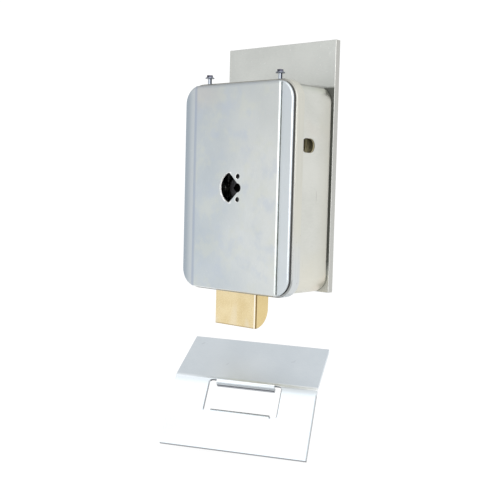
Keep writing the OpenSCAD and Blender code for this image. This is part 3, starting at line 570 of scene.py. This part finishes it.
def milled_brass():
    """Pale bolt brass with a fine milled grain and a scuff on its front. Its colour holds painted shade on
    its right side and lower end, and a painted highlight with a painted dark line beside it along its front
    right corner.
    """
    paint = new_paint("milled_brass")
    x, y, z = paint.axes()
    height = z - BOLT_LOW.z
    grain = paint.noise(1700, 3, 0.6, stretch=(0.5, 1, 1))
    cloud = paint.noise(70, 3, 0.5)
    rubbed = paint.between(paint.noise(90, 2, 0.5, stretch=(1, 1, 0.5), shift=(0.7, 0.1, 1.9)), 0.58, 0.70)
    speck = paint.between(paint.noise(900, 2, 0.4), 0.66, 0.76)
    scuff = paint.between(x - height * 0.25, -8.675, -6.175) * (1 - paint.between(x, -1.0, 0.6))
    scuff = scuff * (1 - paint.between(height, 9.7, 19.7)) * (0.2 + grain)
    # Painted shade: the right side and the lower end darker.
    right_side = paint.between(x, BOLT_HIGH.x - 0.2, BOLT_HIGH.x - 0.05)
    lower_end = 1 - paint.between(height, 0.4, 0.9)
    # Painted highlight along the front right corner, and a painted dark line beside it.
    edge_highlight = paint.band(x, BOLT_HIGH.x - 1.3, BOLT_HIGH.x - 0.4, 0.15)
    edge_highlight = edge_highlight * (1 - paint.between(y, BOLT_LOW.y + 0.1, BOLT_LOW.y + 0.4))
    corner_line = paint.between(x, BOLT_HIGH.x - 0.3, BOLT_HIGH.x - 0.15)
    corner_line = corner_line * paint.band(y, BOLT_LOW.y + 0.3, BOLT_LOW.y + 1.4, 0.2)
    colour = paint.over(
        paint.blend(paint.tone(cloud, grain, 0.4, 0.14), (0.68, 0.545, 0.30), (0.81, 0.69, 0.44)),
        (rubbed * 0.6, (0.74, 0.67, 0.52)),
        (speck * 0.4, (0.88, 0.82, 0.66)),
        (scuff * 0.4, (0.79, 0.72, 0.59)),
        (right_side * 0.6, (0.68, 0.52, 0.225)),
        (lower_end * 0.7, (0.36, 0.26, 0.12)),
        (edge_highlight * 0.8, (1.0, 0.97, 0.90)),
        (corner_line, (0.20, 0.13, 0.05)),
    )
    return paint.finish(
        Base_Color=colour,
        Metallic=1.0,
        Roughness=paint.rough(0.36, (grain, 0.14), (cloud, 0.10)),
        Normal=paint.bump(grain, METAL_BUMP),
    )


def screw_plating():
    """Bluish plated shank with painted shading across it, lighter on its left, and flange under a dark
    hexagon head.
    """
    paint = new_paint("screw_steel")
    x, y, z = paint.axes()
    cloud = paint.noise(160, 3, 0.5)
    # Painted shading across each shank: lighter on its left, dark to its right and lighter again at its
    # right edge.
    off_middle = x - SCREW_X
    off_axis = off_middle - paint.math("SIGN", off_middle) * SCREW_SPREAD
    rightward = off_axis * RIGHT_X + (y - (SCREW_LOW.y + SCREW_HIGH.y) / 2) * RIGHT_Y
    shank = paint.blend(paint.between(rightward, -0.7, 0.1), (0.36, 0.39, 0.43), (0.050, 0.055, 0.070))
    shank = paint.blend(paint.between(rightward, 0.9, 1.3), shank, (0.24, 0.26, 0.29))
    flange = paint.blend(cloud, (0.10, 0.11, 0.14), (0.22, 0.24, 0.28))
    head = paint.blend(cloud, (0.03, 0.03, 0.04), (0.10, 0.10, 0.13))
    colour = paint.over(
        shank,
        (paint.between(z, SCREW_HIGH.z - 2.6, SCREW_HIGH.z - 2.45), flange),
        (paint.between(z, SCREW_HIGH.z - 1.75, SCREW_HIGH.z - 1.55), head),
    )
    return paint.finish(Base_Color=colour, Metallic=1.0, Roughness=paint.rough(0.24, (cloud, 0.10)))


def turned_metal(name, dark, light, rough, spread=0.12):
    """Machined or rolled metal of the inner pieces and screws."""
    paint = new_paint(name)
    cloud = paint.noise(90, 3, 0.5)
    line = paint.noise(1400, 2, 0.6, stretch=(1, 0.12, 1))
    return paint.finish(
        Base_Color=paint.blend(paint.tone(cloud, line, 0.6), dark, light),
        Metallic=1.0,
        Roughness=paint.rough(rough, (cloud, spread), (line, spread)),
        Normal=paint.bump(line, METAL_BUMP),
    )


def moulded(name, dark, light, rough):
    """Plastic or rubber with a faint moulded grain."""
    paint = new_paint(name)
    grain = paint.noise(1800, 3, 0.6)
    cloud = paint.noise(70, 3, 0.5)
    return paint.finish(
        Base_Color=paint.blend(paint.tone(cloud, grain, 0.5), dark, light),
        Roughness=paint.rough(rough, (grain, 0.2)),
        Normal=paint.bump(grain, MOULDED_BUMP),
    )


def copper_winding():
    """Enamelled turns, seen as fine rings along the coil."""
    paint = new_paint("copper_winding")
    rings = paint.node(
        "ShaderNodeTexWave",
        {"wave_type": "BANDS", "bands_direction": "Z", "wave_profile": "SIN"},
        {"Vector": paint.place(), "Scale": 500, "Distortion": 0.6, "Detail": 1.0},
    )
    ring = Value(paint, rings.outputs["Fac"])
    return paint.finish(
        Base_Color=paint.blend(ring, (0.16, 0.045, 0.012), (0.48, 0.17, 0.05)),
        Metallic=0.6,
        Roughness=0.34 + (1 - ring) * 0.2,
        Normal=paint.bump(ring, WINDING_BUMP),
    )


# Shapes: copies of the solids with rounded edges
SEAM = 0.002 * MM
FLAT_ANGLE = math.radians(0.8)
EDGE_ANGLE = math.radians(24)
SHADE_ANGLE = math.radians(38)


def softened(node, passes, finish, segments=3):
    """A copy of a solid with chosen edges rounded. Each pass is a radius in mm and a test of the edge."""
    bm = bmesh.new()
    bm.from_mesh(nodes[node].data)
    bmesh.ops.remove_doubles(bm, verts=bm.verts, dist=SEAM)
    bmesh.ops.dissolve_degenerate(bm, dist=SEAM, edges=bm.edges)
    bmesh.ops.dissolve_limit(
        bm, angle_limit=FLAT_ANGLE, use_dissolve_boundaries=False, verts=bm.verts, edges=bm.edges
    )
    for radius, wanted in passes:
        bm.normal_update()
        chosen = [
            edge
            for edge in bm.edges
            if len(edge.link_faces) == 2
            and edge.calc_face_angle(0) > EDGE_ANGLE
            and wanted(edge.verts[0].co / MM, edge.verts[1].co / MM)
        ]
        bmesh.ops.bevel(
            bm,
            geom=chosen,
            offset=radius * MM,
            offset_type="OFFSET",
            affect="EDGES",
            segments=segments,
            profile=0.5,
            material=-1,
            clamp_overlap=True,
            loop_slide=True,
        )
    for face in bm.faces:
        face.smooth = True
    mesh = bpy.data.meshes.new(node + "_soft")
    bm.to_mesh(mesh)
    bm.free()
    piece = bpy.data.objects.new(node + "_soft", mesh)
    scene.collection.objects.link(piece)
    mesh.set_sharp_from_angle(angle=SHADE_ANGLE)
    even = piece.modifiers.new("even_shading", "WEIGHTED_NORMAL")
    even.keep_sharp = True
    even.weight = 100
    mesh.materials.append(finish)
    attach(piece, nodes[node]["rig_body"])
    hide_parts(node)
    return piece


def sprung(node, joint, finish):
    """A smooth-shaded copy of a spring with a mesh of its own; the travel of the joint is read, but the
    spring is not pressed.
    """
    low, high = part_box(node)
    travel = next(made["range_m"][1] for made in frame["joints"] if made["name"] == joint)
    piece = softened(node, [], finish)
    1 - travel / (high.z - low.z)
    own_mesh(piece)


def any_edge(a, b):
    return True


def lid_rear_edge(a, b):
    return min(a.y, b.y) > LID_HIGH.y - 0.05


def plate_outline(a, b):
    at_side = max(abs(a.x), abs(b.x)) > PLATE_HIGH.x - 0.1
    return at_side or max(a.z, b.z) > PLATE_HIGH.z - 0.1 or min(a.z, b.z) < PLATE_LOW.z + 0.1


def bolt_left_corner(a, b):
    return max(a.x, b.x) < BOLT_LOW.x + 0.1 and max(a.z, b.z) < BOLT_LOW.z + 0.1


def bolt_outside(a, b):
    return max(a.z, b.z) < BOLT_BODY_TOP


def node_finish(name, finish):
    data = nodes[name].data
    data.materials.clear()
    data.materials.append(finish)
    for polygon in data.polygons:
        polygon.material_index = 0


make_camera()

COVER_ZINC = cover_zinc()
CASE_ZINC = case_zinc()
LID_ZINC = lid_zinc()
PLATE_ZINC = plate_zinc()
STRIKE_ZINC = strike_zinc()
BRASS = milled_brass()
SCREW_STEEL = screw_plating()
BLACK_STEEL = turned_metal("black_steel", (0.035, 0.035, 0.04), (0.07, 0.07, 0.075), 0.42)
BRIGHT_STEEL = turned_metal("bright_steel", (0.50, 0.50, 0.50), (0.66, 0.66, 0.66), 0.26)
SHEET_STEEL = turned_metal("sheet_steel", (0.50, 0.50, 0.46), (0.64, 0.63, 0.58), 0.36)
SPRING_STEEL = turned_metal("spring_steel", (0.34, 0.34, 0.35), (0.48, 0.48, 0.50), 0.30)
BUSH_BRASS = turned_metal("bush_brass", (0.60, 0.42, 0.14), (0.76, 0.56, 0.24), 0.30)
RUBBER = moulded("black_rubber", (0.028, 0.028, 0.028), (0.055, 0.055, 0.055), 0.70)
NYLON = moulded("white_nylon", (0.70, 0.70, 0.65), (0.82, 0.82, 0.78), 0.45)
TAN_PLASTIC = moulded("tan_plastic", (0.66, 0.58, 0.34), (0.84, 0.76, 0.48), 0.50)
RED_PLASTIC = moulded("red_plastic", (0.32, 0.012, 0.012), (0.45, 0.03, 0.03), 0.35)
WINDING = copper_winding()

for names, finish in (
    ("cover", COVER_ZINC),
    ("case", CASE_ZINC),
    ("lid_frame", LID_ZINC),
    ("fixing_plate", PLATE_ZINC),
    ("strike", STRIKE_ZINC),
    ("bolt", BRASS),
    ("cover_screws", SCREW_STEEL),
    ("gasket", RUBBER),
    ("key_follower plunger", BLACK_STEEL),
    ("cover_studs cover_nuts case_screws chassis_spacers chassis_screws", BRIGHT_STEEL),
    ("guide_screws lift_pin spring_rod lever_stud plunger_pin pole_piece", BRIGHT_STEEL),
    ("solenoid_screws terminal_screws terminal_base_screws", BRIGHT_STEEL),
    ("chassis_plate bolt_guide release_lever solenoid_frame", SHEET_STEEL),
    ("bolt_spring follower_clip lever_clip", SPRING_STEEL),
    ("follower_bush terminal_clamps", BUSH_BRASS),
    ("bobbin", NYLON),
    ("coil", WINDING),
    ("coil_leads", RED_PLASTIC),
    ("terminal_base", TAN_PLASTIC),
):
    for name in names.split():
        node_finish(name, finish)

softened("cover", [], COVER_ZINC)
softened("lid_frame", [(0.25, lid_rear_edge)], LID_ZINC)
softened("case", [], CASE_ZINC)
softened("fixing_plate", [(0.4, plate_outline)], PLATE_ZINC)
softened("bolt", [(1.2, bolt_left_corner), (0.6, bolt_outside)], BRASS)
softened("strike", [(0.4, any_edge)], STRIKE_ZINC, segments=2)
softened("cover_screws", [(0.18, any_edge)], SCREW_STEEL, segments=2)
sprung("bolt_spring", "bolt_slide", SPRING_STEEL)


# Stage and light, in m and with 1 as white
WHITE_GLOW = 1.06
ROOM_LIGHT = 0.86
FLOOR_HALF = 8
FLOOR_GAP = 0.0004
FLOOR_GREY = (0.86, 0.86, 0.86)
FLOOR_GLOW_SHARE = 0.90
FLOOR_SHEEN = 0.09
LAMP_AIM = Vector((0, -0.03, -0.03))


def make_floor():
    """A pale card under the lock that shows as white and keeps a faint shadow."""
    lowest = cad_box[0][2]
    bm = bmesh.new()
    bmesh.ops.create_grid(bm, x_segments=1, y_segments=1, size=FLOOR_HALF)
    bmesh.ops.translate(bm, verts=bm.verts, vec=(0, 0, lowest - FLOOR_GAP))
    mesh = bpy.data.meshes.new("floor")
    bm.to_mesh(mesh)
    bm.free()
    floor = bpy.data.objects.new("floor", mesh)
    scene.collection.objects.link(floor)
    paint = new_paint("pale_floor")
    glossy = paint.ray("Glossy")
    seen = paint.ray("Camera").larger(paint.ray("Transmission")).larger(glossy) * FLOOR_GLOW_SHARE
    strength = WHITE_GLOW + glossy * FLOOR_SHEEN
    card = paint.node("ShaderNodeBsdfDiffuse", None, {"Color": FLOOR_GREY})
    glow = paint.node("ShaderNodeEmission", None, {"Color": (1.0, 1.0, 1.0), "Strength": strength})
    mix = paint.node("ShaderNodeMixShader", None, {0: seen, 1: card.outputs[0], 2: glow.outputs[0]})
    mesh.materials.append(paint.surface(mix))


def make_world():
    """A soft room: each field is a direction, its inner and outer half angle and the light that it adds."""
    scene.world = bpy.data.worlds.new("studio")
    paint = Paint(scene.world, "ShaderNodeOutputWorld")
    light = ROOM_LIGHT
    for towards, inner, outer, added in (
        ((0.76, -0.64, 0.05), 20, 50, 2.30),
        ((0.45, -0.55, 0.70), 20, 82, 0.58),
        ((-0.50, -0.80, -0.35), 8, 40, 0.15),
        ((-1.00, -0.20, 0.00), 12, 34, 0.35),
        ((-0.64, -0.10, 0.76), 8, 28, -0.40),
        ((-0.62, 0.77, 0.12), 8, 32, -0.45),
        ((0.40, 0.85, 0.10), 30, 65, 0.14),
    ):
        light = paint.field(towards, inner, outer) * added + light
    seen = paint.ray("Camera").larger(paint.ray("Transmission"))
    room = paint.node("ShaderNodeBackground", None, {"Color": light})
    white = paint.node("ShaderNodeBackground", None, {"Color": (1.0, 1.0, 1.0), "Strength": WHITE_GLOW})
    mix = paint.node("ShaderNodeMixShader", None, {0: seen, 1: room.outputs[0], 2: white.outputs[0]})
    paint.surface(mix)


def softbox(name, place, size, glow):
    """A rectangular lamp that faces the lock; glow is the radiance of its face."""
    data = bpy.data.lights.new(name, "AREA")
    data.shape = "RECTANGLE"
    data.size, data.size_y = size
    data.energy = glow * math.pi * size[0] * size[1]
    lamp = bpy.data.objects.new(name, data)
    turn = (LAMP_AIM - Vector(place)).to_track_quat("-Z", "Y")
    lamp.matrix_world = Matrix.Translation(Vector(place)) @ turn.to_matrix().to_4x4()
    scene.collection.objects.link(lamp)


make_floor()
make_world()
softbox("overhead_softbox", (0.10, -0.62, 1.15), (1.0, 0.7), 0.4)

scene.view_settings.view_transform = "Standard"
